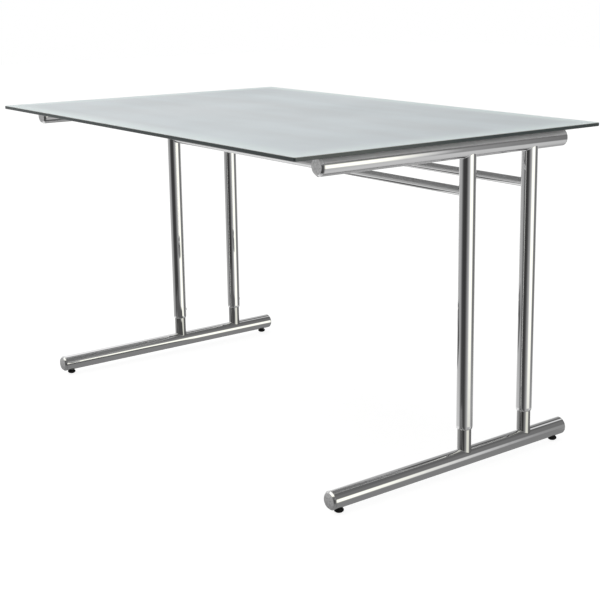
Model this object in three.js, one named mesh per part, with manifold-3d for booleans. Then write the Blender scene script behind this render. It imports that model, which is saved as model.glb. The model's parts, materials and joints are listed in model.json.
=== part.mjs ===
// A glass-topped work table on a chrome tube frame.
// Two T-shaped leg frames carry the glass: a rail under the glass, two telescopic columns and a floor tube.
// Two cross tubes join the leg frames, and the height adjusts where the columns telescope.
//
// Frame: millimetres, +Z up, +X to the user's right, the user sits on the -Y side.
// The origin is on the floor, under the middle of the glass.

import * as THREE from 'three';
import { mergeVertices } from 'three/addons/utils/BufferGeometryUtils.js';
import Module from 'manifold-3d';

const wasm = await Module();
wasm.setup();

// ---------------------------------------------------------------- driving dimensions

const GAP = 0.3; // between pieces that touch
const SLIDE_GAP = 0.25; // between pieces that slide

const GLASS = { width: 1200, depth: 800, thickness: 8, top: 700, cornerRadius: 4, edgeBevel: 0.8 };

const LEG_X = 561; // each leg frame's plane, from the middle
const COLUMN_Y = { front: 52, rear: 228.5 };

const TUBE = { radius: 19, wall: 1.5, length: 650 }; // rails and floor tubes, with their caps
const RAIL = { middleY: 1.5, z: 672 };
const FOOT = { middleY: 21.5, z: 28.4 };

const CAP = { length: 5.2, faceRadius: 15.4, rimHeight: 1.1, plugLength: 8, plugWall: 2, faceThickness: 4 };

const SLEEVE = { radius: 17, wall: 1.2, bottom: 90.5, lipHeight: 8 };
const INNER = { radius: 14.5, wall: 1.5, top: 430 };
const BUSH_LENGTH = 50;
const GUIDE = { headLength: 8, stemLength: 15, bore: 8 };

const SCREW = { radius: 2.8, socketWidth: 3 }; // every set screw
const CLAMP = { z: 112, length: 4.2, socketDepth: 2, bossRadius: 5.5, bossHeight: 1.2 };

const CROSS = { radius: 9.5, wall: 1.5, z: 584 };
const SPIGOT = { length: 40, screwInset: 26 };
const CROSS_SCREW = { length: 8, socketDepth: 2.5 };

const GLIDE_INSET = 24.5; // from each end of the floor tube
const GLIDE_PAD = { radius: 9.8, soleRadius: 6.5, height: 8.6 };
const GLIDE_STUD = { radius: 4, bottom: 5, top: 36 };
const INSERT = { radius: 6, collarRadius: 8, collarThickness: 2, top: 22 };

const GLASS_PAD = { width: 16, length: 30, reach: 190 }; // reach: from the rail's middle

// Segments round a circle: large tubes, mid-sized parts and fasteners.
const FINE = 28;
const MEDIUM = 20;
const COARSE = 12;
const LIP_STEPS = 3;
const CUTTER_LENGTH = 80;

const SIDES = { left: -1, right: 1 };
const ENDS = { front: -1, rear: 1 };

// ---------------------------------------------------------------- materials

const MATERIALS = {
  glass: { color: 0xcfdad6, roughness: 0.25, metalness: 0 },
  chrome: { color: 0xd9dadb, roughness: 0.05, metalness: 1 },
  satinSteel: { color: 0xa3a4a5, roughness: 0.35, metalness: 1 },
  zinc: { color: 0xb4b8bb, roughness: 0.4, metalness: 1 },
  blackPlastic: { color: 0x0c0c0d, roughness: 0.5, metalness: 0 },
  greyPlastic: { color: 0x53565a, roughness: 0.6, metalness: 0 },
  clearPad: { color: 0xe4ecec, roughness: 0.3, metalness: 0 },
};

const material = (kind) => new THREE.MeshStandardMaterial(MATERIALS[kind]);

// ---------------------------------------------------------------- geometry helpers

// A solid of revolution about +Y from a closed outline of [radius, height] points.
// The outline runs either way round, because its order is put right here.
function revolve(outline, segments) {
  const points = outline.map(([radius, height]) => new THREE.Vector2(radius, height));
  const area = THREE.ShapeUtils.area(points);
  const ordered = area > 0 ? points : points.reverse();
  return new THREE.LatheGeometry([...ordered, ordered[0].clone()], segments);
}

const tubeOutline = (outer, inner, start, end) => [
  [inner, start],
  [outer, start],
  [outer, end],
  [inner, end],
];

const rodOutline = (radius, start, end) => [
  [0, start],
  [radius, start],
  [radius, end],
  [0, end],
];

// Turns a geometry that stands along +Y so that it stands along another axis.
const alongZ = (geometry) => geometry.rotateX(Math.PI / 2);
const alongX = (geometry) => geometry.rotateZ(-Math.PI / 2);

function hexPrism(widthAcrossFlats, depth) {
  const cornerRadius = widthAcrossFlats / 2 / Math.cos(Math.PI / 6);
  return new THREE.CylinderGeometry(cornerRadius, cornerRadius, depth, 6);
}

// Closed geometry to solid and back, for cuts and joins.
function toSolid(geometry) {
  const bare = geometry.clone();
  bare.deleteAttribute('normal');
  bare.deleteAttribute('uv');
  const merged = mergeVertices(bare, 1e-4);
  return new wasm.Manifold(
    new wasm.Mesh({
      numProp: 3,
      vertProperties: merged.attributes.position.array,
      triVerts: new Uint32Array(merged.index.array),
    }),
  );
}

function toGeometry(solid) {
  const mesh = solid.getMesh();
  const geometry = new THREE.BufferGeometry();
  geometry.setAttribute('position', new THREE.BufferAttribute(mesh.vertProperties, 3));
  geometry.setIndex(new THREE.BufferAttribute(mesh.triVerts, 1));
  geometry.computeVertexNormals();
  return geometry;
}

// The body joined with every addition, then cut by every cutter.
function combine(body, { add = [], cut = [] }) {
  const joined = add.reduce((solid, piece) => solid.add(toSolid(piece)), toSolid(body));
  return toGeometry(cut.reduce((solid, cutter) => solid.subtract(toSolid(cutter)), joined));
}

// A long cutter rod through a point, along one axis: copes a tube's end, or drills a hole.
function cutterAlong(axis, radius, centre, segments = FINE) {
  const rod = revolve(rodOutline(radius, -CUTTER_LENGTH / 2, CUTTER_LENGTH / 2), segments);
  if (axis === 'x') alongX(rod);
  if (axis === 'z') alongZ(rod);
  return rod.translate(...centre);
}

function addPart(group, name, kind, geometry, position = [0, 0, 0]) {
  const mesh = new THREE.Mesh(geometry, material(kind));
  mesh.name = name;
  mesh.position.set(...position);
  group.add(mesh);
  return mesh;
}

// ---------------------------------------------------------------- glass top and its pads

function glassGeometry() {
  const { width, depth, thickness, cornerRadius: corner, edgeBevel: bevel } = GLASS;
  const halfWidth = width / 2 - bevel;
  const halfDepth = depth / 2 - bevel;
  const outline = new THREE.Shape();
  outline.moveTo(-halfWidth + corner, -halfDepth);
  outline.lineTo(halfWidth - corner, -halfDepth);
  outline.absarc(halfWidth - corner, -halfDepth + corner, corner, -Math.PI / 2, 0);
  outline.absarc(halfWidth - corner, halfDepth - corner, corner, 0, Math.PI / 2);
  outline.absarc(-halfWidth + corner, halfDepth - corner, corner, Math.PI / 2, Math.PI);
  outline.absarc(-halfWidth + corner, -halfDepth + corner, corner, Math.PI, 1.5 * Math.PI);
  const options = {
    depth: thickness - 2 * bevel,
    bevelSize: bevel,
    bevelThickness: bevel,
    bevelSegments: 1,
    curveSegments: 3,
  };
  return new THREE.ExtrudeGeometry(outline, options).translate(0, 0, bevel - thickness);
}

// A clear saddle pad: flat against the glass, hollowed to the rail's crown.
function glassPadGeometry() {
  const top = GLASS.top - GLASS.thickness - GAP - RAIL.z;
  const bottom = TUBE.radius - 2;
  const block = new THREE.BoxGeometry(GLASS_PAD.width, GLASS_PAD.length, top - bottom);
  block.translate(0, 0, (top + bottom) / 2);
  const railSpace = revolve(rodOutline(TUBE.radius + GAP, -GLASS_PAD.length, GLASS_PAD.length), FINE * 2);
  return combine(block, { cut: [railSpace] });
}

function buildTop(group) {
  addPart(group, 'glass_top', 'glass', glassGeometry(), [0, 0, GLASS.top]);
  for (const [side, xSign] of Object.entries(SIDES)) {
    for (const [end, ySign] of Object.entries(ENDS)) {
      const place = [xSign * LEG_X, RAIL.middleY + ySign * GLASS_PAD.reach, RAIL.z];
      addPart(group, `glass_pad_${side}_${end}`, 'clearPad', glassPadGeometry(), place);
    }
  }
}

// ---------------------------------------------------------------- rails, floor tubes and end caps

const TUBE_HALF = TUBE.length / 2 - CAP.length; // half of the bare tube, between its caps
const GLIDE_Y = TUBE.length / 2 - GLIDE_INSET;

const bareTube = () =>
  revolve(tubeOutline(TUBE.radius, TUBE.radius - TUBE.wall, -TUBE_HALF, TUBE_HALF), FINE);

function footTubeGeometry() {
  const holes = Object.values(ENDS).map((ySign) =>
    cutterAlong('z', INSERT.radius + GAP, [0, ySign * GLIDE_Y, -CUTTER_LENGTH / 2], MEDIUM),
  );
  return combine(bareTube(), { cut: holes });
}

// A cap that faces +Y: a flat face, a wide bevel, a low rim, and a hollow plug inside the tube.
function capGeometry() {
  const { length, faceRadius, rimHeight, plugLength, plugWall, faceThickness } = CAP;
  const plugRadius = TUBE.radius - TUBE.wall - GAP;
  const outline = [
    [0, length],
    [faceRadius, length],
    [TUBE.radius, rimHeight],
    [TUBE.radius, GAP],
    [plugRadius, GAP],
    [plugRadius, -plugLength],
    [plugRadius - plugWall, -plugLength],
    [plugRadius - plugWall, length - faceThickness],
    [0, length - faceThickness],
  ];
  return revolve(outline, FINE);
}

function addCaps(leg, prefix, side, { middleY, z }) {
  for (const [end, ySign] of Object.entries(ENDS)) {
    const place = [0, middleY + ySign * TUBE_HALF, z];
    const cap = addPart(leg, `${prefix}_cap_${side}_${end}`, 'satinSteel', capGeometry(), place);
    if (ySign < 0) cap.rotation.z = Math.PI;
  }
}

// ---------------------------------------------------------------- telescopic columns

const SLEEVE_BORE = SLEEVE.radius - SLEEVE.wall;
const BUSH_BOTTOM = SLEEVE.bottom + SLEEVE.lipHeight + GAP;

// The outer column: coped under the rail, its lower lip rolled in, a tapped boss at the rear.
function sleeveGeometry() {
  const { radius, wall, bottom, lipHeight } = SLEEVE;
  const lipBore = INNER.radius + SLIDE_GAP;
  const lipEdge = lipBore + wall / 2;
  const lip = [];
  for (let step = 0; step <= LIP_STEPS; step += 1) {
    const angle = (step / LIP_STEPS) * (Math.PI / 2);
    lip.push([lipEdge + (radius - lipEdge) * Math.sin(angle), bottom + lipHeight * (1 - Math.cos(angle))]);
  }
  const top = RAIL.z - TUBE.radius / 2;
  const outline = [
    [lipBore, bottom],
    ...lip,
    [radius, top],
    [SLEEVE_BORE, top],
    [SLEEVE_BORE, bottom + lipHeight],
    [lipBore, bottom + lipHeight - wall],
  ];
  const tube = alongZ(revolve(outline, FINE));
  const boss = revolve(rodOutline(CLAMP.bossRadius, radius - wall + GAP, radius + CLAMP.bossHeight), COARSE);
  const railSpace = cutterAlong('y', TUBE.radius + GAP, [0, 0, RAIL.z], FINE * 2);
  return combine(tube, { add: [boss.translate(0, 0, CLAMP.z)], cut: [railSpace, clampHole()] });
}

// The hole for the clamp screw, through a column's rear wall.
const clampHole = () => cutterAlong('y', SCREW.radius + GAP, [0, CUTTER_LENGTH / 2, CLAMP.z], COARSE);

// The inner column: coped over the floor tube's crown.
function innerTubeGeometry() {
  const start = FOOT.z + TUBE.radius * 0.6;
  const tube = alongZ(revolve(tubeOutline(INNER.radius, INNER.radius - INNER.wall, start, INNER.top), FINE));
  const footSpace = cutterAlong('y', TUBE.radius + GAP, [0, 0, FOOT.z], FINE * 2);
  return combine(tube, { cut: [footSpace] });
}

// The liner that the inner column slides in, held above the sleeve's lip.
function bushGeometry() {
  const outer = SLEEVE_BORE - SLIDE_GAP;
  const bore = INNER.radius + SLIDE_GAP;
  const liner = alongZ(revolve(tubeOutline(outer, bore, BUSH_BOTTOM, BUSH_BOTTOM + BUSH_LENGTH), FINE));
  return combine(liner, { cut: [clampHole()] });
}

// A plug in the inner column's upper end, with a head that runs in the sleeve.
function tubeGuideGeometry() {
  const stem = INNER.radius - INNER.wall - GAP;
  const head = SLEEVE_BORE - SLIDE_GAP;
  const seat = INNER.top + GAP;
  const outline = [
    [GUIDE.bore, seat - GUIDE.stemLength],
    [stem, seat - GUIDE.stemLength],
    [stem, seat],
    [head, seat],
    [head, seat + GUIDE.headLength],
    [GUIDE.bore, seat + GUIDE.headLength],
  ];
  return alongZ(revolve(outline, FINE));
}

// A set screw along +Y: its tip at the origin, its hexagon socket at the far end.
function setScrewGeometry(length, socketDepth) {
  const body = revolve(rodOutline(SCREW.radius, 0, length), COARSE);
  const socket = hexPrism(SCREW.socketWidth, 2 * socketDepth).translate(0, length, 0);
  return combine(body, { cut: [socket] });
}

function addColumn(leg, side, row, y) {
  const name = (piece) => `${piece}_${side}_${row}`;
  const place = [0, y, 0];
  addPart(leg, name('column_sleeve'), 'chrome', sleeveGeometry(), place);
  addPart(leg, name('guide_bush'), 'greyPlastic', bushGeometry(), place);
  addPart(leg, name('inner_tube'), 'chrome', innerTubeGeometry(), place);
  addPart(leg, name('tube_guide'), 'greyPlastic', tubeGuideGeometry(), place);
  const screw = setScrewGeometry(CLAMP.length, CLAMP.socketDepth);
  addPart(leg, name('clamp_screw'), 'zinc', screw, [0, y + INNER.radius + GAP, CLAMP.z]);
}

// ---------------------------------------------------------------- levelling glides

function glidePadGeometry() {
  const { radius, soleRadius, height } = GLIDE_PAD;
  const socket = GLIDE_STUD.radius + GAP;
  const socketFloor = GLIDE_STUD.bottom - GAP;
  const outline = [
    [0, 0],
    [soleRadius, 0],
    [radius - 0.6, height * 0.26],
    [radius, height * 0.5],
    [radius - 0.6, height * 0.76],
    [radius - 2.4, height],
    [socket, height],
    [socket, socketFloor],
    [0, socketFloor],
  ];
  return alongZ(revolve(outline, MEDIUM));
}

const glideStudGeometry = () =>
  alongZ(revolve(rodOutline(GLIDE_STUD.radius, GLIDE_STUD.bottom, GLIDE_STUD.top), COARSE));

// The threaded bush in the floor tube: its collar lies on the tube's inner wall.
function insertGeometry() {
  const bore = GLIDE_STUD.radius + GAP;
  const bottom = FOOT.z - TUBE.radius + GAP;
  const innerWall = TUBE.radius - TUBE.wall;
  const collar = FOOT.z - Math.sqrt(innerWall ** 2 - INSERT.collarRadius ** 2) + GAP;
  const outline = [
    [bore, bottom],
    [INSERT.radius, bottom],
    [INSERT.radius, collar],
    [INSERT.collarRadius, collar],
    [INSERT.collarRadius, collar + INSERT.collarThickness],
    [INSERT.radius, collar + INSERT.collarThickness],
    [INSERT.radius, INSERT.top],
    [bore, INSERT.top],
  ];
  return alongZ(revolve(outline, MEDIUM));
}

function addGlides(leg, side) {
  for (const [end, ySign] of Object.entries(ENDS)) {
    const place = [0, FOOT.middleY + ySign * GLIDE_Y, 0];
    addPart(leg, `glide_pad_${side}_${end}`, 'blackPlastic', glidePadGeometry(), place);
    addPart(leg, `glide_stud_${side}_${end}`, 'zinc', glideStudGeometry(), place);
    addPart(leg, `glide_insert_${side}_${end}`, 'zinc', insertGeometry(), place);
  }
}

// ---------------------------------------------------------------- leg frames

function buildLeg(group, side, xSign) {
  const leg = new THREE.Group();
  leg.position.x = xSign * LEG_X;
  group.add(leg);
  addPart(leg, `rail_${side}`, 'chrome', bareTube(), [0, RAIL.middleY, RAIL.z]);
  addCaps(leg, 'rail', side, RAIL);
  addPart(leg, `foot_tube_${side}`, 'chrome', footTubeGeometry(), [0, FOOT.middleY, FOOT.z]);
  addCaps(leg, 'foot', side, FOOT);
  for (const [row, y] of Object.entries(COLUMN_Y)) addColumn(leg, side, row, y);
  addGlides(leg, side);
}

// ---------------------------------------------------------------- cross tubes

const SPIGOT_SCREW_X = LEG_X - SLEEVE.radius - SPIGOT.screwInset;

const sleeveSpace = (x) => cutterAlong('z', SLEEVE.radius + GAP, [x, 0, 0], FINE * 2);

// Coped to the sleeves at both ends, with a screw hole below each end.
function crossTubeGeometry() {
  const reach = LEG_X - SLEEVE.radius * 0.82;
  const tube = alongX(revolve(tubeOutline(CROSS.radius, CROSS.radius - CROSS.wall, -reach, reach), MEDIUM));
  const cuts = Object.values(SIDES).flatMap((xSign) => [
    sleeveSpace(xSign * LEG_X),
    cutterAlong('z', SCREW.radius + GAP, [xSign * SPIGOT_SCREW_X, 0, -CUTTER_LENGTH / 2], COARSE),
  ]);
  return combine(tube, { cut: cuts });
}

// The stub at the right-hand end; its screw hole is blind from below.
function spigotGeometry() {
  const radius = CROSS.radius - CROSS.wall - GAP;
  const root = LEG_X - SLEEVE.radius * 0.9;
  const tip = LEG_X - SLEEVE.radius - SPIGOT.length;
  const stub = alongX(revolve(rodOutline(radius, tip, root), MEDIUM));
  const holeTop = CROSS_SCREW.length - CROSS.radius + 2 * GAP;
  const hole = cutterAlong('z', SCREW.radius + GAP, [SPIGOT_SCREW_X, 0, holeTop - CUTTER_LENGTH / 2], COARSE);
  return combine(stub, { cut: [sleeveSpace(LEG_X), hole] });
}

function buildCrossTubes(group) {
  for (const [row, y] of Object.entries(COLUMN_Y)) {
    const place = [0, y, CROSS.z];
    addPart(group, `cross_tube_${row}`, 'chrome', crossTubeGeometry(), place);
    for (const [side, xSign] of Object.entries(SIDES)) {
      const spigot = addPart(group, `cross_spigot_${side}_${row}`, 'zinc', spigotGeometry(), place);
      if (xSign < 0) spigot.rotation.z = Math.PI;
      const screw = setScrewGeometry(CROSS_SCREW.length, CROSS_SCREW.socketDepth);
      const tipZ = CROSS.z - CROSS.radius + GAP + CROSS_SCREW.length;
      const screwPlace = [xSign * SPIGOT_SCREW_X, y, tipZ];
      const placed = addPart(group, `cross_screw_${side}_${row}`, 'zinc', screw, screwPlace);
      placed.rotation.x = -Math.PI / 2;
    }
  }
}

// ---------------------------------------------------------------- the table

const table = new THREE.Group();
buildTop(table);
for (const [side, xSign] of Object.entries(SIDES)) buildLeg(table, side, xSign);
buildCrossTubes(table);

export default table;
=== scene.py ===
# The looks of a glass-topped work table on a chrome tube frame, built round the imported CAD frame.
# Everything is in metres in the frame's own axes: +Z up, +X to the seated user's right,
# and the user on the -Y side.

import json
import math

import bmesh
import bpy
import numpy as np
from mathutils import Matrix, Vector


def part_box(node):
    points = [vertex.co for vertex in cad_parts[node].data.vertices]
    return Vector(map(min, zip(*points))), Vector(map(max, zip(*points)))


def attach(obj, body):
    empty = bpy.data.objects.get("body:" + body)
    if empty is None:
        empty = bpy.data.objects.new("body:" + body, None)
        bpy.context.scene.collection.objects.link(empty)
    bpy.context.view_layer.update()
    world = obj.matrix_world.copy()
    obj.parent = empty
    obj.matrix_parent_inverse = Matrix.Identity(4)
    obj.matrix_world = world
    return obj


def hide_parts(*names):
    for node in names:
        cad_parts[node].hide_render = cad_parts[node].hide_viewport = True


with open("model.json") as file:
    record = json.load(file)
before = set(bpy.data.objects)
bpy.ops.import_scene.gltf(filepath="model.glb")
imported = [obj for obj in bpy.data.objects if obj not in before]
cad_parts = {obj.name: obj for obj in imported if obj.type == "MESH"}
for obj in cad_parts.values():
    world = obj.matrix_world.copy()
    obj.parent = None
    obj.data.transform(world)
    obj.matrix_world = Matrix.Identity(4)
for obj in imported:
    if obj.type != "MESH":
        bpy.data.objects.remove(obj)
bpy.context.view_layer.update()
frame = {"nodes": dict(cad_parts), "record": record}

MM = 0.001

# ---------------------------------------------------------------- fine dimensions, in metres

WALL = 1.5 * MM  # rails, floor tubes, inner and cross tubes
SLEEVE_WALL = 1.2 * MM
LIP_HEIGHT = 8 * MM  # the sleeve's rolled-in lower end
LIP_RIM = 0.35 * MM  # rounding of the lip's inner edge
LIP_GAP = 0.25 * MM  # between the lip and the inner tube
LIP_WALL_SHARE = 0.55  # the lip's thickness, as a share of the sleeve's wall
WELD = 1.3 * MM  # the ground weld fillet where two tubes meet
SINK = 0.2 * MM  # how far a welded end goes into its neighbour
TUBE_EDGE = 0.25 * MM  # rounding of a cut tube end
EDGE_REACH = 5 * MM  # how far from an inner tube's top its outline gets a point of its own
JOINT_GAP = 0.3 * MM  # a cap's joint line, and the gap round a stud and under the glass pads

CAP_FACE_RADIUS = 15.4 * MM
CAP_RIM_HEIGHT = 1.1 * MM
CAP_PLUG_LENGTH = 8 * MM
CAP_PLUG_WALL = 2 * MM
CAP_FACE_THICKNESS = 4 * MM
CAP_EDGE = 0.4 * MM  # rounding of every corner of a cap
CAP_FACE_DEPTH = 0.02 * MM  # faces no deeper than this, and flat, are the satin face

GLASS_CORNER = 4 * MM
GLASS_ARRIS = 0.8 * MM
GLASS_EDGE_ROUNDING = 0.2 * MM

BOSS_RADIUS = 5.5 * MM
BOSS_HEIGHT = 1.2 * MM
BOSS_FILLET = 1.4 * MM
BOSS_RIM = ((0.6, 0.0), (0.25, 0.06), (0.06, 0.25), (0.0, 0.6))  # mm in from the side, mm below the top
BOSS_SINK = 0.3 * MM  # how far the boss's hidden edges go into the sleeve
BOSS_ROOT = 0.5 * MM
FILLET_SINK = 0.02 * MM  # keeps the fillet's foot just inside the sleeve's skin

SCREW_HOLE = 3.1 * MM
HOLE_CHAMFER = 0.3 * MM
SCREW_CHAMFER = 0.45 * MM
SOCKET_WIDTH = 3 * MM
SOCKET_DEPTH = 2 * MM
SOCKET_CHAMFER = 0.15 * MM
SOCKET_POINT = 0.4 * MM  # depth of the drill point under the socket

CROSS_END_GAP = 0.1 * MM  # between a cross tube's end and the sleeve
CROSS_EDGE = 0.3 * MM  # chamfer of that end

THREAD_PITCH = 1.25 * MM
THREAD_DEPTH = 0.7 * MM
STUD_CHAMFER = 0.8 * MM

INSERT_HOLE = 6.3 * MM  # the floor tube's hole for a glide's insert
INSERT_GAP = 0.15 * MM  # between the insert and the stud
INSERT_COLLAR = 2 * MM  # the collar's thickness, and how far it stands out
INSERT_SEAT = 2.5 * MM  # from the insert's lower end to its collar
INSERT_EDGE = 0.3 * MM

FOOT_HOLE_RINGS = 9 * MM  # how far from a hole's middle its tube gets an extra ring
CROSS_HOLE_RINGS = 6 * MM

GLIDE_EDGE = 0.6 * MM
GLIDE_CORE = 1 * MM  # radius of the closing face in the middle of the sole, and of the socket's floor
PAD_EDGE = 0.5 * MM
PAD_ENDS = ((0.0, 0.4), (0.15, 0.15), (0.5, 0.0))  # mm in from a pad's end, mm that it shrinks there

FINE = 128  # points round a large tube
MEDIUM = 64
SCREW_POINTS = 60  # a multiple of six, for the hexagon socket
STUD_POINTS = 36
THREAD_STEPS = 8  # rings for each turn of a thread
SADDLE_STEPS = 12  # points across a glass pad's hollow
ROUND_STEPS = 8
CORNER_POINTS = 5
CORNER_SHARE = 0.45  # the most of a side that one rounded corner may take

SHARP_ANGLE = 32  # degrees; a steeper edge is drawn sharp
CAP_SHARP_ANGLE = 20
THREAD_SHARP_ANGLE = 50
ROUND_LEAN = 0.97  # how squarely a face points away from a tube's axis if it is part of the round surface
FLAT_LEAN = 0.9  # how squarely a face points along an axis if it is part of a flat end
BEVEL_LEAN = 0.2  # how far the glass's upper bevel leans up

SIDES = ("left", "right")
ENDS = ("front", "rear")
CORNERS = [(side, end) for side in SIDES for end in ENDS]

RECORD = frame["record"]
BODY_OF = {node: body for body, nodes in RECORD["behaviour"]["bodies"].items() for node in nodes}

# ---------------------------------------------------------------- node helpers


def add(tree, kind, inputs=None, **settings):
    """A new node. Each input is a value, or a socket to link."""
    made = tree.nodes.new(kind)
    for key, value in settings.items():
        setattr(made, key, value)
    for key, value in (inputs or {}).items():
        if isinstance(value, bpy.types.NodeSocket):
            tree.links.new(value, made.inputs[key])
        else:
            made.inputs[key].default_value = value
    return made


def maths(tree, operation, *values):
    return add(tree, "ShaderNodeMath", dict(enumerate(values)), operation=operation).outputs[0]


def between(tree, value, low, high, start=0.0, end=1.0, smooth=True):
    """The value carried from low..high to start..end, clamped."""
    inputs = {"Value": value, "From Min": low, "From Max": high, "To Min": start, "To Max": end}
    style = "SMOOTHSTEP" if smooth else "LINEAR"
    return add(tree, "ShaderNodeMapRange", inputs, interpolation_type=style).outputs[0]


def blend_colour(tree, share, first, second):
    """The first colour where the share is 0, and the second where it is 1."""
    node = add(tree, "ShaderNodeMix", {0: share}, data_type="RGBA")
    for socket, value in ((node.inputs[6], first), (node.inputs[7], second)):
        if isinstance(value, bpy.types.NodeSocket):
            tree.links.new(value, socket)
        else:
            socket.default_value = value
    return node.outputs[2]


def grey(value, tint=(1.0, 1.0, 1.0)):
    """A colour of this brightness, with a slight tint."""
    return (value * tint[0], value * tint[1], value * tint[2], 1.0)


def noise(tree, where, scale, detail=3.0, roughness=0.5):
    inputs = {"Vector": where, "Scale": scale, "Detail": detail, "Roughness": roughness}
    return add(tree, "ShaderNodeTexNoise", inputs).outputs[0]


def stretched(tree, where, scale):
    """Coordinates scaled along each axis, so that a pattern runs long in one direction."""
    return add(tree, "ShaderNodeMapping", {"Vector": where, "Scale": scale}).outputs[0]


def bump(tree, height, depth, normal=None):
    inputs = {"Height": height, "Distance": depth, "Strength": 1.0}
    if normal is not None:
        inputs["Normal"] = normal
    return add(tree, "ShaderNodeBump", inputs).outputs[0]


def new_material(name):
    """A material with one Principled shader. Returns it, its tree, its shader and its own coordinates."""
    material = bpy.data.materials.new(name)
    material.use_nodes = True
    tree = material.node_tree
    shader = next(n for n in tree.nodes if n.type == "BSDF_PRINCIPLED")
    where = add(tree, "ShaderNodeTexCoord").outputs["Object"]
    return material, tree, shader, where


def connect(tree, shader, **sockets):
    """Sets the shader's inputs by name, with _ for a space."""
    for name, value in sockets.items():
        socket = shader.inputs[name.replace("_", " ")]
        if isinstance(value, bpy.types.NodeSocket):
            tree.links.new(value, socket)
        else:
            socket.default_value = value


# ---------------------------------------------------------------- materials

GLASS_IOR = 1.52
GLASS_TRANSMISSION = 0.12
EDGE_GLOW_WIDTH = {"top": 70 * MM, "underside": 46 * MM}  # how far in from the edge each glass face has its painted edge glow, a paler rim of painted light
COOL_GREY = (0.87, 0.955, 1.0)
EDGE_GLOW_TEAL = (0.88, 0.99, 1.0)


def chrome_material(name, dark, light):
    """Polished chrome plate: nearly a mirror, with a faint haze, fine wipe marks and a slight waviness."""
    material, tree, shader, where = new_material(name)
    cloud = noise(tree, where, 9.0, 4.0)
    haze = noise(tree, where, 70.0, 5.0, 0.6)
    wipes = noise(tree, stretched(tree, where, (1.0, 0.06, 0.06)), 900.0, 2.0)
    colour = blend_colour(tree, cloud, dark, light)
    rough = maths(tree, "MULTIPLY_ADD", haze, 0.03, 0.005)
    rough = maths(tree, "MULTIPLY_ADD", wipes, 0.02, rough)
    waves = noise(tree, where, 45.0, 1.0)
    normal = bump(tree, waves, 0.03 * MM)
    connect(tree, shader, Base_Color=colour, Metallic=1.0, Roughness=rough, Normal=normal)
    return material


def satin_steel_material():
    """The caps' blasted satin faces, with faint turning marks about each piece's own axis."""
    material, tree, shader, where = new_material("satin_steel_face")
    local = add(tree, "ShaderNodeAttribute", attribute_name="local").outputs["Vector"]
    parts = add(tree, "ShaderNodeSeparateXYZ", {0: local})
    squares = [maths(tree, "POWER", parts.outputs[axis], 2.0) for axis in (0, 2)]
    radius = maths(tree, "SQRT", maths(tree, "ADD", *squares))
    inputs = {"W": radius, "Scale": 1500.0, "Detail": 2.0}
    rings = add(tree, "ShaderNodeTexNoise", inputs, noise_dimensions="1D")
    grain = noise(tree, where, 1600.0, 3.0)
    cloud = noise(tree, where, 260.0, 4.0, 0.6)
    colour = blend_colour(tree, between(tree, cloud, 0.35, 0.65), grey(0.58), grey(0.8))
    rough = between(tree, grain, 0.3, 0.7, 0.34, 0.46)
    normal = bump(tree, rings.outputs[0], 0.01 * MM, bump(tree, grain, 0.02 * MM))
    connect(tree, shader, Base_Color=colour, Metallic=1.0, Roughness=rough, Normal=normal)
    return material


def zinc_material():
    """Bright zinc plate on the screws, studs and inserts."""
    material, tree, shader, where = new_material("zinc_plate")
    cloud = noise(tree, where, 220.0, 4.0, 0.6)
    grain = noise(tree, where, 2400.0, 2.0)
    colour = blend_colour(tree, cloud, grey(0.56, (1.0, 1.0, 0.96)), grey(0.7, (0.98, 1.0, 1.03)))
    rough = between(tree, cloud, 0.2, 0.8, 0.24, 0.42)
    normal = bump(tree, grain, 0.01 * MM)
    connect(tree, shader, Base_Color=colour, Metallic=1.0, Roughness=rough, Normal=normal)
    return material


def moulded_material(name, dark, light, rough_low, rough_high, grain_depth):
    """Moulded plastic with a fine spark-eroded grain."""
    material, tree, shader, where = new_material(name)
    grain = noise(tree, where, 2600.0, 3.0)
    cloud = noise(tree, where, 120.0, 3.0)
    rough = between(tree, grain, 0.3, 0.7, rough_low, rough_high)
    colour = blend_colour(tree, cloud, dark, light)
    normal = bump(tree, grain, grain_depth)
    connect(tree, shader, Base_Color=colour, Roughness=rough, Specular_IOR_Level=0.3, Normal=normal)
    return material


def clear_pad_material():
    """Soft clear elastomer, slightly cloudy."""
    material, tree, shader, where = new_material("clear_elastomer")
    cloud = noise(tree, where, 180.0, 3.0)
    colour = blend_colour(tree, cloud, grey(0.8, (0.98, 1.0, 1.0)), grey(0.92, (0.98, 1.0, 1.0)))
    rough = between(tree, cloud, 0.2, 0.8, 0.18, 0.32)
    connect(tree, shader, Base_Color=colour, Roughness=rough, Transmission_Weight=0.7, IOR=1.41)
    return material


def near_edge(tree, where, width):
    """1 at the glass's edge, falling to 0 at this distance inside it."""
    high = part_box("glass_top")[1]
    parts = add(tree, "ShaderNodeSeparateXYZ", {0: where})
    reach = [
        maths(tree, "SUBTRACT", limit, maths(tree, "ABSOLUTE", part))
        for limit, part in ((high.x, parts.outputs[0]), (high.y, parts.outputs[1]))
    ]
    return between(tree, maths(tree, "MINIMUM", *reach), 0.0, width, 1.0, 0.0)


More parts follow.
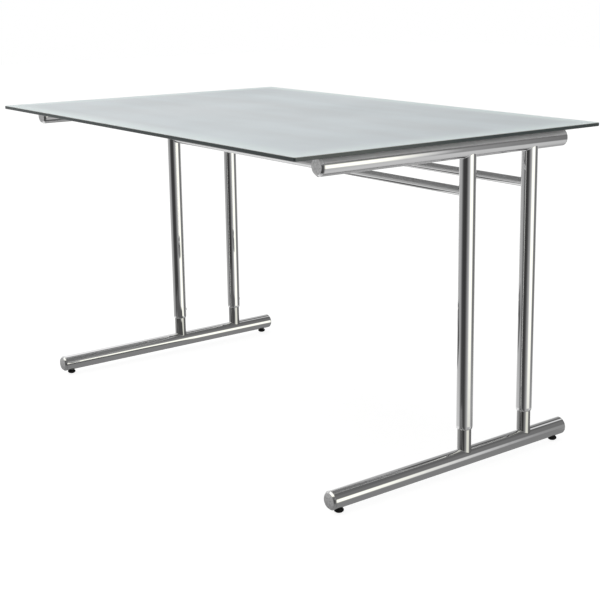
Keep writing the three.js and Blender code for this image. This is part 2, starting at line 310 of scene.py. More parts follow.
def satin_glass_material(name, dark, light, edge_glow_colour, edge_glow_width):
    """Etched toughened glass: a milky grey body under a silky skin, with roller bands and a paler rim of
    painted light near the edge, standing in for light let in by the polished edges.
    """
    material, tree, shader, where = new_material(name)
    bands = noise(tree, stretched(tree, where, (1.0, 5.0, 1.0)), 1.6, 2.0)
    cloud = noise(tree, where, 3.0, 3.0)
    etch = noise(tree, where, 2200.0, 2.0)
    share = maths(tree, "ADD", maths(tree, "MULTIPLY", bands, 0.6), maths(tree, "MULTIPLY", cloud, 0.4))
    colour = blend_colour(tree, between(tree, share, 0.3, 0.7), dark, light)
    # Painted light: the paler colour near the edge stands in for light let in by the polished edges.
    colour = blend_colour(tree, near_edge(tree, where, edge_glow_width), colour, edge_glow_colour)
    rough = between(tree, bands, 0.3, 0.7, 0.34, 0.46)
    normal = bump(tree, etch, 0.01 * MM)
    connect(tree, shader, Base_Color=colour, Roughness=rough, Normal=normal)
    connect(tree, shader, IOR=GLASS_IOR, Transmission_Weight=GLASS_TRANSMISSION)
    return material


def glass_edge_material():
    """The polished edge: deep grey-green, with the faint vertical lines that the grinding wheel leaves."""
    material, tree, shader, where = new_material("glass_edge")
    lines = noise(tree, stretched(tree, where, (1.0, 1.0, 0.02)), 500.0, 2.0)
    cloud = noise(tree, where, 14.0, 3.0)
    colour = blend_colour(tree, cloud, grey(0.06, (0.78, 1.0, 1.02)), grey(0.1, (0.82, 1.0, 1.0)))
    rough = between(tree, lines, 0.3, 0.7, 0.08, 0.18)
    normal = bump(tree, lines, 0.01 * MM)
    connect(tree, shader, Base_Color=colour, Roughness=rough, IOR=GLASS_IOR, Normal=normal)
    return material


def ground_arris_material():
    """The frosted bevel between the face and the edge."""
    material, tree, shader, where = new_material("ground_arris")
    grain = noise(tree, where, 1800.0, 3.0)
    colour = blend_colour(tree, grain, grey(0.62, (0.95, 1.0, 1.0)), grey(0.8, (0.97, 1.0, 1.0)))
    connect(tree, shader, Base_Color=colour, Roughness=between(tree, grain, 0.3, 0.7, 0.35, 0.55))
    return material


CHROME = chrome_material("chrome_plate", grey(0.74, (1.0, 1.0, 1.01)), grey(0.8))
INNER_CHROME = chrome_material("inner_chrome_plate", grey(0.46, (1.0, 1.0, 0.98)), grey(0.54))
SATIN_STEEL = satin_steel_material()
ZINC = zinc_material()
BLACK_PLASTIC = moulded_material("black_plastic", grey(0.002), grey(0.004), 0.38, 0.55, 0.02 * MM)
GREY_PLASTIC = moulded_material("grey_acetal", grey(0.09), grey(0.12), 0.4, 0.55, 0.01 * MM)
CLEAR_PAD = clear_pad_material()
GLASS_TOP = satin_glass_material(
    "satin_glass", grey(0.7, COOL_GREY), grey(0.93, COOL_GREY), grey(1.0, EDGE_GLOW_TEAL), EDGE_GLOW_WIDTH["top"]
)
# The underside is the same glass with a darker body: painted shade, as it faces the floor. Its paler rim
# is painted light.
GLASS_UNDERSIDE_SHADED = satin_glass_material(
    "glass_underside_painted_shade", grey(0.36), grey(0.43), grey(0.95), EDGE_GLOW_WIDTH["underside"]
)
GLASS_EDGE = glass_edge_material()
GROUND_ARRIS = ground_arris_material()

# ---------------------------------------------------------------- mesh helpers

# For each axis: two directions across it, and the axis itself.
AXES = {
    "x": np.array([(0, 1, 0), (0, 0, 1), (1, 0, 0)], float),
    "y": np.array([(0, 0, 1), (1, 0, 0), (0, 1, 0)], float),
    "z": np.array([(1, 0, 0), (0, 1, 0), (0, 0, 1)], float),
}


def turned(axis, centre, outline, count):
    """Rings of points: an outline of (radius, height) turned about an axis through centre.
    A radius or a height may be an array, with one value for each point of the ring."""
    across, over, along = AXES[axis]
    angle = np.arange(count)[:, None] * 2 * math.pi / count
    rings = []
    for radius, height in outline:
        radius = np.broadcast_to(np.asarray(radius, float), count)[:, None]
        height = np.broadcast_to(np.asarray(height, float), count)[:, None]
        flat = radius * (np.cos(angle) * across + np.sin(angle) * over)
        rings.append(np.asarray(centre, float) + flat + height * along)
    return rings


def loft(rings, looped):
    """Points and faces that join each ring to the next. A looped loft joins its last ring to its first;
    any other is closed by a flat face at each end."""
    count = len(rings[0])
    faces = []
    for row in range(len(rings) if looped else len(rings) - 1):
        near, far = row * count, (row + 1) % len(rings) * count
        faces += [(near + i, near + (i + 1) % count, far + (i + 1) % count, far + i) for i in range(count)]
    if not looped:
        faces.append(tuple(reversed(range(count))))
        faces.append(tuple(range((len(rings) - 1) * count, len(rings) * count)))
    return np.concatenate(rings), faces


def rounded(outline, radius, looped=False, only=None):
    """The outline with its corners rounded: the inner ones, or all of them if it is looped,
    or only those whose places in the outline are given."""
    points = [np.array(p, float) for p in outline]
    if only is None:
        only = range(len(points)) if looped else range(1, len(points) - 1)
    made = []
    for i, corner in enumerate(points):
        if i not in only:
            made.append(corner)
            continue
        before, after = points[i - 1] - corner, points[(i + 1) % len(points)] - corner
        reach = min(radius, CORNER_SHARE * np.linalg.norm(before), CORNER_SHARE * np.linalg.norm(after))
        start = corner + before / np.linalg.norm(before) * reach
        end = corner + after / np.linalg.norm(after) * reach
        for t in np.linspace(0, 1, CORNER_POINTS):
            made.append((1 - t) ** 2 * start + 2 * t * (1 - t) * corner + t**2 * end)
    return made


def make_mesh(name, shells, materials, centre=(0, 0, 0), sharp_angle=SHARP_ANGLE):
    """A mesh of one or more shells of (points, faces), with its normals out and its shading finished."""
    points, faces = [], []
    for shell_points, shell_faces in shells:
        start = sum(len(p) for p in points)
        points.append(np.asarray(shell_points, float))
        faces += [tuple(start + i for i in face) for face in shell_faces]
    mesh = bpy.data.meshes.new(name)
    mesh.from_pydata(np.concatenate(points).tolist(), [], faces)
    editing = bmesh.new()
    editing.from_mesh(mesh)
    bmesh.ops.recalc_face_normals(editing, faces=editing.faces)
    editing.to_mesh(mesh)
    editing.free()
    for material in materials:
        mesh.materials.append(material)
    finish_shading(mesh, centre, sharp_angle)
    return mesh


def finish_shading(mesh, centre, sharp_angle=SHARP_ANGLE):
    """Smooth shading between sharp edges, and each point's place from the centre, for the materials."""
    mesh.shade_smooth()
    mesh.set_sharp_from_angle(angle=math.radians(sharp_angle))
    local = mesh.attributes.get("local") or mesh.attributes.new("local", "FLOAT_VECTOR", "POINT")
    spots = np.array([v.co for v in mesh.vertices]) - np.asarray(centre, float)
    local.data.foreach_set("vector", spots.astype(np.float32).ravel())


def new_object(name, data):
    """A new object in the scene."""
    made = bpy.data.objects.new(name, data)
    bpy.context.scene.collection.objects.link(made)
    return made


def stand_in(node, mesh):
    """Shows the mesh in the place of a CAD node: on the same body."""
    piece = new_object(f"{node}_fine", mesh)
    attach(piece, BODY_OF[node])
    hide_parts(node)


def carve(mesh, cutters, axis, centre):
    """Cuts each cutter mesh out of a tube, and keeps the tube's round faces shaded as true cylinders."""
    host = new_object("carving", mesh)
    tools = []
    for cutter in cutters:
        tool = new_object("cutter", cutter)
        cut = host.modifiers.new("cut", "BOOLEAN")
        cut.object, cut.operation, cut.solver = tool, "DIFFERENCE", "EXACT"
        tools.append(tool)
    bpy.context.view_layer.update()
    evaluated = host.evaluated_get(bpy.context.evaluated_depsgraph_get())
    carved = bpy.data.meshes.new_from_object(evaluated)
    for leftover in [host, *tools]:
        bpy.data.objects.remove(leftover)
    finish_shading(carved, centre)
    shade_as_cylinder(carved, axis, centre)
    return carved


def shade_as_cylinder(mesh, axis, centre):
    """Gives the corners of each face that lies along a cylinder about the axis its exact radial normal."""
    across, over, _ = AXES[axis]
    origin = np.asarray(centre, float)
    normals = np.zeros((len(mesh.loops), 3))
    for face in mesh.polygons:
        outward = np.array(face.center) - origin
        outward = (outward @ across) * across + (outward @ over) * over
        lean = float(np.array(face.normal) @ outward) / max(np.linalg.norm(outward), 1e-9)
        if abs(lean) < ROUND_LEAN:
            continue
        for loop in face.loop_indices:
            spot = np.array(mesh.vertices[mesh.loops[loop].vertex_index].co) - origin
            radial = (spot @ across) * across + (spot @ over) * over
            normals[loop] = math.copysign(1, lean) * radial / np.linalg.norm(radial)
    mesh.normals_split_custom_set(normals.tolist())


def middle_and_size(node):
    """The middle and the size of a CAD node's box."""
    low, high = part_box(node)
    return (low + high) / 2, high - low


# ---------------------------------------------------------------- tubes


def saddle(big, own):
    """How far a big tube's surface stands from its axis, at each point round a tube of radius own."""
    cosines = np.cos(np.arange(FINE) * 2 * math.pi / FINE)
    return np.sqrt(big**2 - (own * cosines) ** 2)


def fillet(own, big, seat, facing):
    """Outline points of a ground weld between a tube's end and the big tube it stands against.
    seat is the big tube's axis, and facing is 1 if the end points to higher values."""
    outline = []
    for step in range(ROUND_STEPS + 1):
        turn = step / ROUND_STEPS * math.pi / 2
        radius = own + WELD * (1 - math.cos(turn))
        height = seat - facing * (saddle(big, radius) + WELD * (1 - math.sin(turn)))
        outline.append((radius, height))
    outer = own + WELD
    outline.append((outer - SINK, seat - facing * (saddle(big, outer - SINK) - SINK)))
    return outline


def rings_beside(holes, middle, reach):
    """Where a tube gets extra rings, either side of each hole, so that its shading stays even."""
    return sorted(hole - middle + side * reach for hole in holes for side in (-1, 1))


def straight_tube(node, holes=()):
    """A tube along Y with softened ends, as long and as wide as its CAD node."""
    middle, size = middle_and_size(node)
    outer, half = size.z / 2, size.y / 2
    inner = outer - WALL
    stops = rings_beside(holes, middle.y, FOOT_HOLE_RINGS)
    outline = [(outer, -half), *((outer, stop) for stop in stops), (outer, half)]
    outline += [(inner, half), *((inner, stop) for stop in reversed(stops)), (inner, -half)]
    ends = {0, len(stops) + 1, len(stops) + 2, len(outline) - 1}
    softened = rounded(outline, TUBE_EDGE, only=ends)
    return make_mesh(node, [loft(turned("y", middle, softened, FINE), True)], [CHROME], middle)


def hole_below(place, radius, depth):
    """A cutter: a round bar that reaches down from this place."""
    bar = [(radius, -depth), (radius, 0.0)]
    return make_mesh("hole", [loft(turned("z", place, bar, MEDIUM), False)], [CHROME])


def build_rails():
    for side in SIDES:
        node = f"rail_{side}"
        stand_in(node, straight_tube(node))


def build_foot_tubes():
    for side in SIDES:
        node = f"foot_tube_{side}"
        middle, size = middle_and_size(node)
        glides = [middle_and_size(f"glide_insert_{side}_{end}")[0] for end in ENDS]
        tube = straight_tube(node, [spot.y for spot in glides])
        cutters = [hole_below((spot.x, spot.y, middle.z), INSERT_HOLE, size.z) for spot in glides]
        stand_in(node, carve(tube, cutters, "y", middle))


# ---------------------------------------------------------------- end caps


def cap_mesh(node, tube_node, outward):
    """A cap: a flat satin face, a wide polished bevel, a joint line and a hollow plug inside the tube."""
    middle, size = middle_and_size(tube_node)
    cap_low, cap_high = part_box(node)
    joint = middle.y + outward * size.y / 2
    reach = abs((cap_high.y if outward > 0 else cap_low.y) - joint)
    radius = size.x / 2
    plug = radius - WALL - JOINT_GAP
    deep = reach - CAP_FACE_THICKNESS
    corners = [
        (0.5 * CAP_FACE_RADIUS, reach),
        (CAP_FACE_RADIUS, reach),
        (radius, CAP_RIM_HEIGHT),
        (radius, JOINT_GAP),
        (plug, JOINT_GAP),
        (plug, -CAP_PLUG_LENGTH),
        (plug - CAP_PLUG_WALL, -CAP_PLUG_LENGTH),
        (plug - CAP_PLUG_WALL, deep),
        (0.5 * plug, deep),
    ]
    placed = [(across, outward * height) for across, height in rounded(corners, CAP_EDGE)]
    centre = (middle.x, joint, middle.z)
    shells = [loft(turned("y", centre, placed, FINE), False)]
    mesh = make_mesh(node, shells, [SATIN_STEEL, CHROME], centre, CAP_SHARP_ANGLE)
    for face in mesh.polygons:
        at_the_front = outward * (face.center.y - joint) > reach - CAP_FACE_DEPTH
        is_face = at_the_front and outward * face.normal.y > FLAT_LEAN
        face.material_index = 0 if is_face else 1
    return mesh


def build_caps():
    for side, end in CORNERS:
        outward = -1 if end == "front" else 1
        for prefix, tube in (("rail_cap", f"rail_{side}"), ("foot_cap", f"foot_tube_{side}")):
            node = f"{prefix}_{side}_{end}"
            stand_in(node, cap_mesh(node, tube, outward))


# ---------------------------------------------------------------- columns


def boss_shell(centre, tube_radius):
    """The tapped boss on a sleeve's rear side: a low round pad that flows into the tube."""
    top = tube_radius + BOSS_HEIGHT
    rim_bottom = top - BOSS_RIM[-1][1] * MM
    across = np.abs(np.sin(np.arange(MEDIUM) * 2 * math.pi / MEDIUM))  # each point's share along X

    def skin(radius):
        return np.sqrt(tube_radius**2 - (radius * across) ** 2) - FILLET_SINK

    outline = [
        (SCREW_HOLE, skin(SCREW_HOLE) - BOSS_SINK),
        (SCREW_HOLE, top - HOLE_CHAMFER),
        (SCREW_HOLE + HOLE_CHAMFER, top),
        *((BOSS_RADIUS - inset * MM, top - drop * MM) for inset, drop in BOSS_RIM),
    ]
    for step in range(1, ROUND_STEPS + 1):
        turn = step / ROUND_STEPS * math.pi / 2
        radius = BOSS_RADIUS + BOSS_FILLET * (1 - math.cos(turn))
        share = math.sin(turn)
        outline.append((radius, (1 - share) * rim_bottom + share * skin(radius)))
    outline.append((BOSS_RADIUS + BOSS_FILLET - BOSS_SINK, skin(BOSS_RADIUS) - BOSS_ROOT))
    return loft(turned("y", centre, outline, MEDIUM), True)


def sleeve_mesh(node, rail_node, inner_node, screw_node):
    """The outer column: a rolled-in lower lip, a weld under the rail and a tapped boss at the rear."""
    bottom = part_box(node)[0].z
    _, size = middle_and_size(node)
    rail, rail_size = middle_and_size(rail_node)
    inner, inner_size = middle_and_size(inner_node)
    screw, _ = middle_and_size(screw_node)
    radius, big = size.x / 2, rail_size.x / 2
    bore = radius - SLEEVE_WALL
    lip_bore = inner_size.x / 2 + LIP_GAP
    lip_edge = lip_bore + SLEEVE_WALL * LIP_WALL_SHARE
    lip = []
    for step in range(2 * ROUND_STEPS + 1):
        turn = step / (2 * ROUND_STEPS) * math.pi / 2
        across = lip_edge + (radius - lip_edge) * math.sin(turn)
        lip.append((across, bottom + LIP_HEIGHT * (1 - math.cos(turn))))
    rim = rounded([(lip_bore, bottom + LIP_RIM * 2), (lip_bore, bottom), lip[0], lip[1]], LIP_RIM)[:-1]
    weld = fillet(radius, big, rail.z, 1)
    inside = rail.z - saddle(big, bore) + SINK
    outline = [*rim, *lip[1:], *weld, (bore, inside), (bore, bottom + LIP_HEIGHT)]
    centre = (inner.x, inner.y, 0.0)
    tube = loft(turned("z", centre, outline, FINE), True)
    boss = boss_shell((inner.x, inner.y, screw.z), radius)
    return make_mesh(node, [tube, boss], [CHROME], centre)


def inner_tube_mesh(node, foot_node):
    """The inner column: a plain tube with a ground weld on the floor tube's crown."""
    middle, size = middle_and_size(node)
    foot, foot_size = middle_and_size(foot_node)
    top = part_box(node)[1].z
    radius, big = size.x / 2, foot_size.x / 2
    bore = radius - WALL
    weld = fillet(radius, big, foot.z, -1)
    inside = foot.z + saddle(big, bore) - SINK
    end = [(radius, top - EDGE_REACH), (radius, top), (bore, top), (bore, top - EDGE_REACH)]
    outline = [(bore, inside), *reversed(weld), *rounded(end, TUBE_EDGE)]
    centre = (middle.x, middle.y, 0.0)
    return make_mesh(node, [loft(turned("z", centre, outline, FINE), True)], [INNER_CHROME], centre)


def build_columns():
    for side, row in CORNERS:
        sleeve, inner = f"column_sleeve_{side}_{row}", f"inner_tube_{side}_{row}"
        stand_in(sleeve, sleeve_mesh(sleeve, f"rail_{side}", inner, f"clamp_screw_{side}_{row}"))
        stand_in(inner, inner_tube_mesh(inner, f"foot_tube_{side}"))


# ---------------------------------------------------------------- cross tubes


def cross_tube_mesh(node, row):
    """A thin tube whose ends are shaped to the sleeves, with a screw hole below each end."""
    middle, size = middle_and_size(node)
    radius = size.z / 2
    inner, edge = radius - WALL, radius - CROSS_EDGE
    columns = {side: middle_and_size(f"inner_tube_{side}_{row}")[0].x for side in SIDES}
    big = middle_and_size(f"column_sleeve_right_{row}")[1].x / 2 + CROSS_END_GAP
    screws = [middle_and_size(f"cross_screw_{side}_{row}")[0].x for side in SIDES]
    stops = rings_beside(screws, 0.0, CROSS_HOLE_RINGS)

    def left_end(own):
        return columns["left"] + saddle(big, own)

    def right_end(own):
        return columns["right"] - saddle(big, own)

    outline = [(edge, left_end(edge)), (radius, left_end(radius) + CROSS_EDGE)]
    outline += [(radius, stop) for stop in stops]
    outline += [(radius, right_end(radius) - CROSS_EDGE), (edge, right_end(edge))]
    outline += [(inner, right_end(inner)), *((inner, stop) for stop in reversed(stops))]
    outline.append((inner, left_end(inner)))
    centre = (0.0, middle.y, middle.z)
    tube = make_mesh(node, [loft(turned("x", centre, outline, FINE), True)], [CHROME], centre)
    cutters = [hole_below((screw, middle.y, middle.z), SCREW_HOLE, 2 * radius) for screw in screws]
    return carve(tube, cutters, "x", centre)


def build_cross_tubes():
    for row in ENDS:
        node = f"cross_tube_{row}"
        stand_in(node, cross_tube_mesh(node, row))


# ---------------------------------------------------------------- screws, glides and pads


def hexagon(width, count):
    """The radius of a hexagon at each of count points round it."""
    angle = np.arange(count) * 2 * math.pi / count
    return width / 2 / np.cos(np.mod(angle, math.pi / 3) - math.pi / 6)


def socket_screw_mesh(node, axis, facing):
    """A set screw: chamfered ends and a hexagon socket in the end that faces outwards."""
    middle, size = middle_and_size(node)
    along = "xyz".index(axis)
    radius = size[(along + 1) % 3] / 2
    half = size[along] / 2
    socket = hexagon(SOCKET_WIDTH, SCREW_POINTS)
    floor = half - SOCKET_DEPTH
    outline = [
        (radius * 0.5, -half),
        (radius - SCREW_CHAMFER, -half),
        (radius, -half + SCREW_CHAMFER),
        (radius, half - SCREW_CHAMFER),
        (radius - SCREW_CHAMFER, half),
        (socket + SOCKET_CHAMFER, half),
        (socket, half - SOCKET_CHAMFER),
        (socket, floor),
        (socket * 0.5, floor - SOCKET_POINT),
    ]
    placed = [(across, facing * height) for across, height in outline]
    rings = turned(axis, middle, placed, SCREW_POINTS)
    return make_mesh(node, [loft(rings, False)], [ZINC], middle)


def glide_pad_mesh(node):
    """A black moulded glide: a small sole, a rounded rim and a deep socket for the stud."""
    middle, size = middle_and_size(node)
    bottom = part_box(node)[0].z
    radius, height = size.x / 2, size.z
    stud_node = node.replace("pad", "stud")
    stud = middle_and_size(stud_node)[1].x / 2 + JOINT_GAP
    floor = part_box(stud_node)[0].z - bottom - JOINT_GAP
    outline = [
        (GLIDE_CORE, 0.0),
        (radius * 0.66, 0.0),
        (radius - 0.5 * MM, height * 0.26),
        (radius, height * 0.42),
        (radius, height * 0.52),
        (radius - 0.5 * MM, height * 0.7),
        (radius - 2.4 * MM, height - 0.5 * MM),
        (radius - 3 * MM, height),
        (stud, height),
        (stud, floor),
        (GLIDE_CORE, floor),
    ]
    centre = (middle.x, middle.y, bottom)
    rings = turned("z", centre, rounded(outline, GLIDE_EDGE), MEDIUM)
    return make_mesh(node, [loft(rings, False)], [BLACK_PLASTIC], centre)


def glide_stud_mesh(node):
    """A threaded stud: the radius follows a screw thread, and its ends are chamfered."""
    middle, size = middle_and_size(node)
    low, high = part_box(node)
    crest = size.x / 2
    turn = np.arange(STUD_POINTS) / STUD_POINTS
    outline = []
    heights = np.arange(low.z, high.z, THREAD_PITCH / THREAD_STEPS)
    for height in [*heights, high.z]:
        phase = np.mod(height / THREAD_PITCH - turn, 1.0)
        # A flat root between two sloping flanks and a flat crest.
        depth = THREAD_DEPTH * np.clip(1.25 - np.abs(phase - 0.5) * 3.0, 0.0, 1.0)
        chamfer = max(0.0, STUD_CHAMFER - min(height - low.z, high.z - height))
        outline.append((np.minimum(crest - depth, crest - chamfer), height))
    centre = (middle.x, middle.y, 0.0)
    shells = [loft(turned("z", centre, outline, STUD_POINTS), False)]
    return make_mesh(node, shells, [ZINC], centre, THREAD_SHARP_ANGLE)


def glide_insert_mesh(node):
    """The threaded bush in the floor tube, with a softened collar."""
    middle, size = middle_and_size(node)
    low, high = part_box(node)
    bore = middle_and_size(node.replace("insert", "stud"))[1].x / 2 + INSERT_GAP
    collar = size.x / 2
    body = collar - INSERT_COLLAR
    seat = low.z + INSERT_SEAT
    outline = [
        (bore, low.z),
        (body, low.z),
        (body, seat),
        (collar, seat),
        (collar, seat + INSERT_COLLAR),
        (body, seat + INSERT_COLLAR),
        (body, high.z),
        (bore, high.z),
    ]
    centre = (middle.x, middle.y, 0.0)
    rings = turned("z", centre, rounded(outline, INSERT_EDGE, looped=True), MEDIUM)
    return make_mesh(node, [loft(rings, True)], [ZINC], centre)


def glass_pad_mesh(node, rail_node):
    """A clear saddle between the rail and the glass, with soft ends."""
    low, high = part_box(node)
    rail, rail_size = middle_and_size(rail_node)
    saddle_radius = rail_size.x / 2 + JOINT_GAP
    half_width = (high.x - low.x) / 2
    corners = (0, SADDLE_STEPS - 1, SADDLE_STEPS, SADDLE_STEPS + 1)
    slices = [(low.y + reach * MM, inset * MM) for reach, inset in PAD_ENDS]
    slices += [(high.y - reach * MM, inset * MM) for reach, inset in reversed(PAD_ENDS)]
    rings = []
    for y, inset in slices:
        width = half_width - inset
        top = high.z - inset - rail.z
        hollow = np.linspace(-width, width, SADDLE_STEPS)
        section = [(x, math.sqrt((saddle_radius + inset) ** 2 - x**2)) for x in hollow]
        section += [(width, top), (-width, top)]
        softened = rounded(section, PAD_EDGE, only=corners)
        rings.append(np.array([(rail.x + across, y, rail.z + height) for across, height in softened]))
    return make_mesh(node, [loft(rings, False)], [CLEAR_PAD], (rail.x, (low.y + high.y) / 2, rail.z))


def build_small_parts():
    for side, end in CORNERS:
        key = f"{side}_{end}"
        stand_in(f"clamp_screw_{key}", socket_screw_mesh(f"clamp_screw_{key}", "y", 1))
        stand_in(f"cross_screw_{key}", socket_screw_mesh(f"cross_screw_{key}", "z", -1))
        stand_in(f"glide_pad_{key}", glide_pad_mesh(f"glide_pad_{key}"))
        stand_in(f"glide_stud_{key}", glide_stud_mesh(f"glide_stud_{key}"))
        stand_in(f"glide_insert_{key}", glide_insert_mesh(f"glide_insert_{key}"))
        stand_in(f"glass_pad_{key}", glass_pad_mesh(f"glass_pad_{key}", f"rail_{side}"))


# ---------------------------------------------------------------- glass top


def plate_ring(low, high, inset, height):
    """A rectangle with round corners, seen from above, at one height."""
    points = []
    reach = GLASS_CORNER - inset
    corners = (
        (high.x - GLASS_CORNER, high.y - GLASS_CORNER, 0.0),
        (low.x + GLASS_CORNER, high.y - GLASS_CORNER, 0.5),
        (low.x + GLASS_CORNER, low.y + GLASS_CORNER, 1.0),
        (high.x - GLASS_CORNER, low.y + GLASS_CORNER, 1.5),
    )
    for x, y, start in corners:
        for step in range(ROUND_STEPS + 1):
            turn = math.pi * (start + 0.5 * step / ROUND_STEPS)
            points.append((x + reach * math.cos(turn), y + reach * math.sin(turn), height))
    return np.array(points)


def build_glass():
    """The slab: satin faces, a polished edge and a frosted bevel round the top."""
    low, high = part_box("glass_top")
    profile = rounded(
        [
            (GLASS_ARRIS * 3, low.z),
            (GLASS_ARRIS, low.z),
            (0.0, low.z + GLASS_ARRIS),
            (0.0, high.z - GLASS_ARRIS),
            (GLASS_ARRIS, high.z),
            (GLASS_ARRIS * 3, high.z),
        ],
        GLASS_EDGE_ROUNDING,
    )
    rings = [plate_ring(low, high, inset, height) for inset, height in profile]
    materials = [GLASS_TOP, GLASS_UNDERSIDE_SHADED, GLASS_EDGE, GROUND_ARRIS]
    mesh = make_mesh("glass_top", [loft(rings, False)], materials)
    for face in mesh.polygons:
        if face.normal.z > FLAT_LEAN:
            face.material_index = materials.index(GLASS_TOP)
        elif face.normal.z < -FLAT_LEAN:
            face.material_index = materials.index(GLASS_UNDERSIDE_SHADED)
        else:
            side = GROUND_ARRIS if face.normal.z > BEVEL_LEAN else GLASS_EDGE
            face.material_index = materials.index(side)
    stand_in("glass_top", mesh)


def dress_hidden_parts():
    """The inner plastic guides and the stubs stay as the CAD made them, with proper materials."""
    dressing = {"guide_bush": GREY_PLASTIC, "tube_guide": GREY_PLASTIC, "cross_spigot": ZINC}
    for side, row in CORNERS:
        for kind, material in dressing.items():
            node = frame["nodes"][f"{kind}_{side}_{row}"]
            node.data.materials.clear()
            node.data.materials.append(material)


# ---------------------------------------------------------------- studio

CAMERA_PLACE = (2.3169, -1.6567, 1.0020)
CAMERA_YAW, CAMERA_PITCH, CAMERA_ROLL = 51.254, -11.887, -0.358  # degrees; yaw 0 looks along +Y
CAMERA_LENS, CAMERA_SENSOR = 74.78, 36.0  # mm
CAMERA_SHIFT = (-0.0833, -0.1)

CAMERA_SIDE = -40.0  # the bearing of the camera side, in degrees from +X; the rings are measured from it

# Rings of (bearing from the camera side, brightness). At eye level there is a dark camera side,
# one large softbox on the table's right and a white backdrop behind it.
EYE_RING = (
    (-180, 1.15), (-160, 0.95), (-140, 0.68), (-124, 0.49), (-90, 0.45), (-76, 0.26), (-64, 0.1),
    (-50, 0.055), (-16, 0.05), (-4, 0.12), (8, 0.28), (24, 0.44), (33, 0.7), (41, 1.4), (62, 1.5),
    (76, 1.4), (81, 0.75), (84, 0.34), (96, 0.22), (108, 0.17), (120, 0.22), (134, 0.4), (148, 0.7),
    (166, 0.8), (180, 1.15),
)
UPPER_RING = (
    (-180, 0.5), (-170, 1.0), (-150, 1.2), (-125, 0.7), (-90, 0.3), (-30, 0.12), (10, 0.3), (50, 0.6),
    (64, 0.42), (76, 0.2), (84, 0.2), (160, 0.24), (172, 0.45), (180, 0.5),
)
CEILING_RING = (
    (-180, 1.2), (-140, 1.35), (-30, 1.35), (-16, 0.4), (40, 0.3), (90, 0.16), (121, 0.14), (129, 0.9),
    (139, 0.9), (145, 0.12), (161, 0.07), (168, 0.45), (174, 0.7), (180, 1.2),
)
FLOOR_RING = (
    (-180, 0.3), (-172, 0.2), (-160, 0.9), (-90, 0.9), (-60, 0.12), (-20, 0.06), (0, 0.12), (30, 0.5),
    (62, 0.5), (80, 0.62), (90, 0.68), (122, 0.62), (145, 0.42), (170, 0.42), (180, 0.3),
)
ZENITH, NADIR = 0.55, 0.6

# What the studio turns into above and below eye level, and the heights in degrees where it blends in.
LAYERS = (
    ((7.0, 16.0), UPPER_RING),
    ((34.0, 44.0), CEILING_RING),
    ((58.0, 68.0), ZENITH),
    ((-16.0, -25.0), FLOOR_RING),
    ((-55.0, -75.0), NADIR),
)
PLAIN = (1.0, 1.0, 1.0)
KEY_TINT = (1.0, 1.0, 0.9)  # slightly warm, wherever the camera's half of a ring passes KEY_BRIGHTNESS
KEY_BRIGHTNESS = 1.1

SOFTBOX_PLACE = (0.0, -0.3, 3.2)
SOFTBOX_WIDTH = 3.0
SOFTBOX_WATTS = 14.0

FLOOR_REACH = 12.0
FLOOR_GLOW = 0.88
FLOOR_PAINT = 0.3

# The dark patches on the floor that only the chrome sees: how far from its middle line each one
# starts to fade and ends.
SHADOW_DROP = 0.5 * MM  # below the floor
SHADOW_REACH = 1.5  # table lengths and widths to the sheet's front left corner
BESIDE_FOOT = {"across": (0.06, 0.12), "along": (0.33, 0.42), "brightness": 0.26}
UNDER_TABLE = {"middle": (-0.34, -0.2), "across": (0.19, 0.25), "along": (0.3, 0.36), "brightness": 0.12}


def ring_of_light(tree, bearing, ring):
    """A colour ramp round the horizon."""
    ramp = add(tree, "ShaderNodeValToRGB", {0: between(tree, bearing, -180.0, 180.0, smooth=False)})
    stops = ramp.color_ramp.elements
    while len(stops) < len(ring):
        stops.new(0.5)
    for stop, (angle, brightness) in zip(stops, ring):
        is_key = brightness > KEY_BRIGHTNESS and abs(angle) < 90
        stop.position = (angle + 180) / 360
        stop.color = grey(brightness, KEY_TINT if is_key else PLAIN)
    return ramp.outputs[0]


def build_world():
    """A soft studio for reflections and shading, behind a plain white backdrop."""
    world = bpy.data.worlds.new("studio")
    bpy.context.scene.world = world
    world.use_nodes = True
    tree = world.node_tree
    tree.nodes.clear()
    direction = add(tree, "ShaderNodeTexCoord").outputs["Generated"]
    inputs = {"Vector": direction, "Angle": -math.radians(CAMERA_SIDE)}
    spun = add(tree, "ShaderNodeVectorRotate", inputs, rotation_type="Z_AXIS")
    parts = add(tree, "ShaderNodeSeparateXYZ", {0: spun.outputs[0]})
    bearing = maths(tree, "DEGREES", maths(tree, "ARCTAN2", parts.outputs[1], parts.outputs[0]))
    height = maths(tree, "DEGREES", maths(tree, "ARCSINE", parts.outputs[2]))
    light = ring_of_light(tree, bearing, EYE_RING)
    for (start, end), look in LAYERS:
        layer = grey(look) if isinstance(look, float) else ring_of_light(tree, bearing, look)
        light = blend_colour(tree, between(tree, height, start, end), light, layer)
    path = add(tree, "ShaderNodeLightPath")
    unseen = maths(tree, "ADD", path.outputs["Is Diffuse Ray"], path.outputs["Is Glossy Ray"])
    unseen = maths(tree, "SUBTRACT", unseen, path.outputs["Is Transmission Ray"])
    colour = blend_colour(tree, maths(tree, "MAXIMUM", unseen, 0.0), grey(1.0), light)
    background = add(tree, "ShaderNodeBackground", {"Color": colour})
    add(tree, "ShaderNodeOutputWorld", {"Surface": background.outputs[0]})


def level_sheet(name, material_name, low, high):
    """A level rectangle from low to high, and the empty node tree of its material."""
    mesh = bpy.data.meshes.new(name)
    corners = [(low[0], low[1], 0), (high[0], low[1], 0), (high[0], high[1], 0), (low[0], high[1], 0)]
    mesh.from_pydata(corners, [], [(0, 1, 2, 3)])
    material = bpy.data.materials.new(material_name)
    material.use_nodes = True
    material.node_tree.nodes.clear()
    mesh.materials.append(material)
    return new_object(name, mesh), material.node_tree


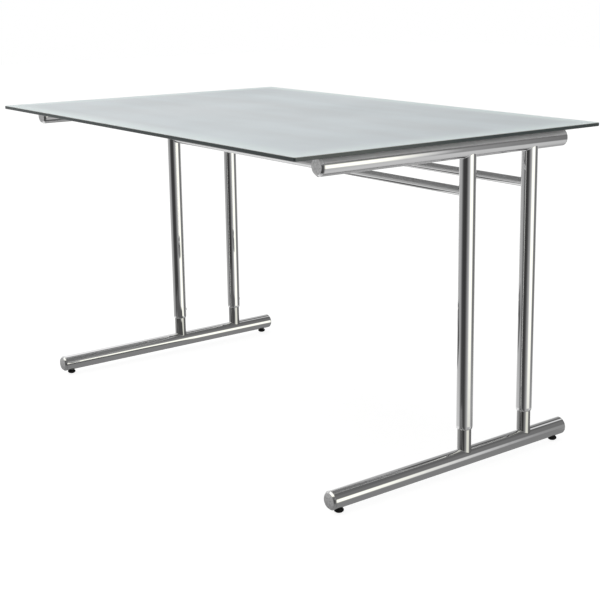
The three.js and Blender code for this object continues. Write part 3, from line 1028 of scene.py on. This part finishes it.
def build_floor():
    """A pale floor that is clear from below."""
    corner = (FLOOR_REACH, FLOOR_REACH)
    floor, tree = level_sheet("floor", "floor_pale", (-FLOOR_REACH, -FLOOR_REACH), corner)
    glow = add(tree, "ShaderNodeEmission", {"Color": grey(1.0), "Strength": FLOOR_GLOW})
    paint = add(tree, "ShaderNodeBsdfDiffuse", {"Color": grey(FLOOR_PAINT)})
    both = add(tree, "ShaderNodeAddShader", {0: glow.outputs[0], 1: paint.outputs[0]})
    clear = add(tree, "ShaderNodeBsdfTransparent")
    below = add(tree, "ShaderNodeNewGeometry").outputs["Backfacing"]
    sides = add(tree, "ShaderNodeMixShader", {0: below, 1: both.outputs[0], 2: clear.outputs[0]})
    add(tree, "ShaderNodeOutputMaterial", {"Surface": sides.outputs[0]})
    floor.visible_glossy = False
    floor.visible_diffuse = False
    floor.visible_shadow = False


def build_table_shadow():
    """The darker floor beside each foot and under the cross tubes, which only the chrome sees."""
    foot, _ = middle_and_size("foot_tube_right")
    _, top = middle_and_size("glass_top")
    low = (-SHADOW_REACH * top.x, -SHADOW_REACH * top.y)
    shadow, tree = level_sheet("table_shadow", "table_shadow", low, (top.x, top.y))
    shadow.location.z = -SHADOW_DROP
    parts = add(tree, "ShaderNodeSeparateXYZ", {0: add(tree, "ShaderNodeTexCoord").outputs["Object"]})

    def from_line(axis, middle):
        return maths(tree, "ABSOLUTE", maths(tree, "SUBTRACT", parts.outputs[axis], middle))

    def patch(kind, across, along):
        inside_across = between(tree, across, *kind["across"], 1.0, 0.0)
        inside_along = between(tree, along, *kind["along"], 1.0, 0.0)
        return maths(tree, "MULTIPLY", inside_across, inside_along)

    nearest_foot = maths(tree, "MINIMUM", from_line(0, -foot.x), from_line(0, foot.x))
    beside_foot = patch(BESIDE_FOOT, nearest_foot, from_line(1, foot.y))
    under_table = patch(UNDER_TABLE, *(from_line(axis, UNDER_TABLE["middle"][axis]) for axis in (0, 1)))
    share = maths(tree, "MAXIMUM", beside_foot, under_table)
    colours = [grey(kind["brightness"]) for kind in (UNDER_TABLE, BESIDE_FOOT)]
    dark = add(tree, "ShaderNodeEmission", {"Color": blend_colour(tree, beside_foot, *colours)})
    clear = add(tree, "ShaderNodeBsdfTransparent")
    both = add(tree, "ShaderNodeMixShader", {0: share, 1: clear.outputs[0], 2: dark.outputs[0]})
    add(tree, "ShaderNodeOutputMaterial", {"Surface": both.outputs[0]})
    for ray in ("camera", "diffuse", "transmission", "shadow"):
        setattr(shadow, f"visible_{ray}", False)


def build_light():
    """One large softbox overhead."""
    lamp = bpy.data.lights.new("overhead_softbox", "AREA")
    lamp.shape = "SQUARE"
    lamp.size = SOFTBOX_WIDTH
    lamp.energy = SOFTBOX_WATTS
    box = new_object("overhead_softbox", lamp)
    box.location = SOFTBOX_PLACE
    box.visible_glossy = False
    box.visible_camera = False


def build_camera():
    data = bpy.data.cameras.new("camera")
    data.sensor_width = CAMERA_SENSOR
    data.lens = CAMERA_LENS
    data.shift_x, data.shift_y = CAMERA_SHIFT
    camera = new_object("camera", data)
    yaw, pitch, roll = (math.radians(angle) for angle in (CAMERA_YAW, CAMERA_PITCH, CAMERA_ROLL))
    turns = ((yaw, "Z"), (math.pi / 2 + pitch, "X"), (roll, "Z"))
    first, second, third = (Matrix.Rotation(angle, 4, axis) for angle, axis in turns)
    camera.matrix_world = Matrix.Translation(CAMERA_PLACE) @ (first @ second @ third)
    bpy.context.scene.camera = camera


# ---------------------------------------------------------------- the scene

bpy.context.scene.view_settings.view_transform = "Standard"
build_camera()
build_world()
build_light()
build_floor()
build_table_shadow()
build_glass()
build_rails()
build_foot_tubes()
build_caps()
build_columns()
build_cross_tubes()
build_small_parts()
dress_hidden_parts()
